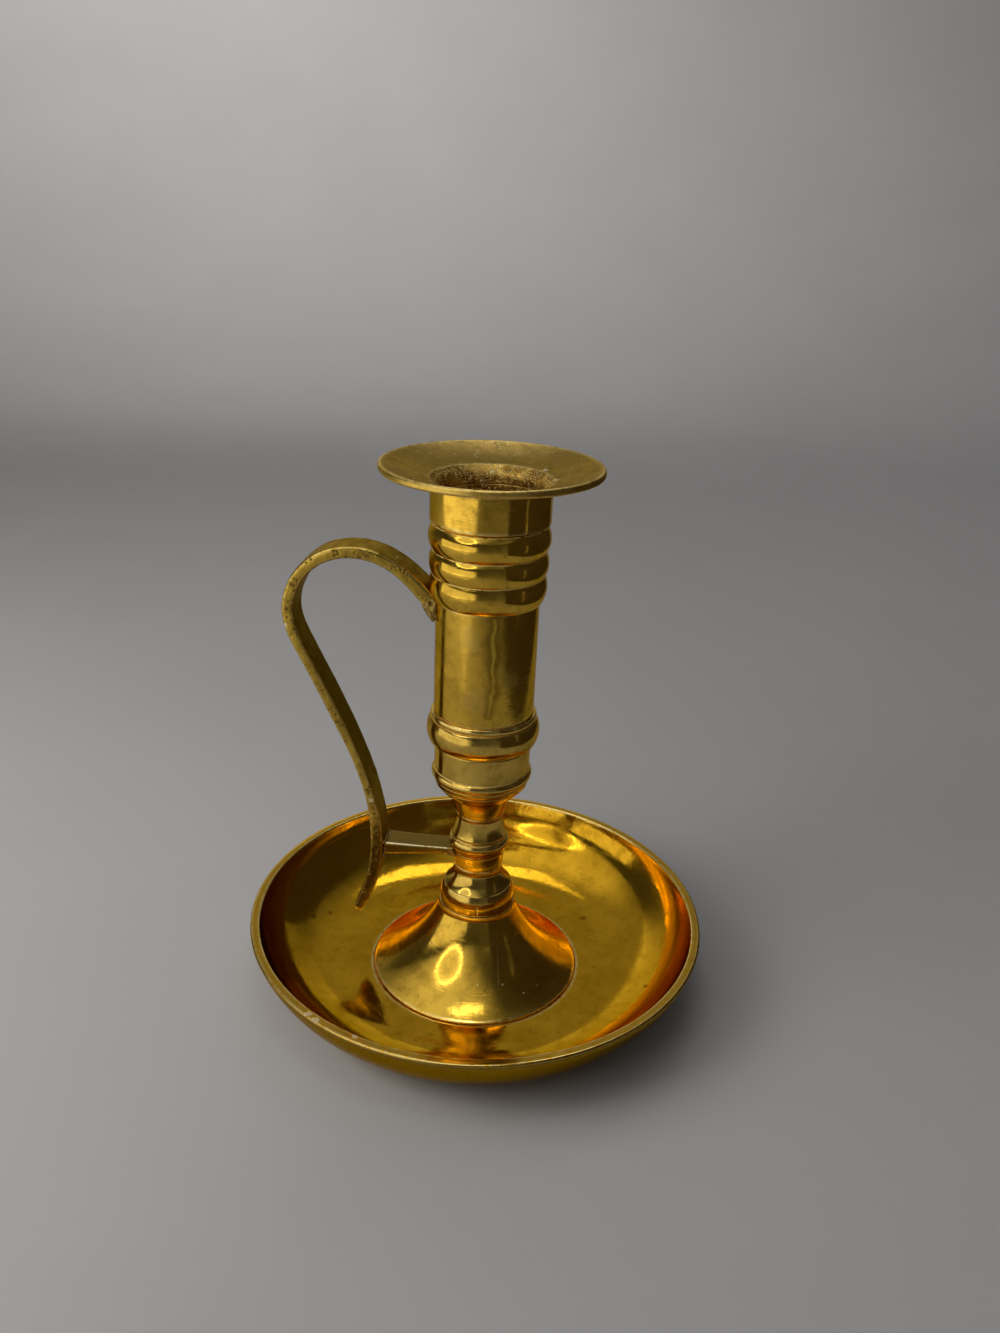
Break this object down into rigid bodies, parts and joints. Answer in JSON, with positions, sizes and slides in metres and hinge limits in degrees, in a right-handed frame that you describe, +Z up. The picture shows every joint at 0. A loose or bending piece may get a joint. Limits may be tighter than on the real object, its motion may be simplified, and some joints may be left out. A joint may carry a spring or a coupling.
{
  "type": "chamberstick",
  "caption": "Brass chamberstick: a saucer pan with a turned column, a candle socket with a drip flange, and a strap handle that forms a finger loop.",
  "frame": {"origin": "middle of the pan's foot, on the table", "axes": "+Z up the column, towards the candle; the handle is on the -X side; +Y away from the viewer of the picture"},
  "size_m": [0.1136, 0.1136, 0.1333],
  "materials": {
    "brass": "polished, lightly tarnished",
    "steel": "plain zinc grey",
    "solder": "dull soft solder"
  },
  "bodies": {
    "root": {"drip_pan": "brass", "foot_cone": "brass", "stem_collar": "brass", "stem_knop": "brass", "column_cup": "brass", "column_tube": "brass", "candle_socket": "brass", "drip_flange": "brass", "handle_strap": "brass", "handle_strut": "brass", "tie_rod": "steel", "socket_nut": "steel", "socket_washer": "steel", "base_nut": "steel", "base_washer": "steel", "socket_solder": "solder", "strut_solder": "solder"}
  },
  "joints": []
}
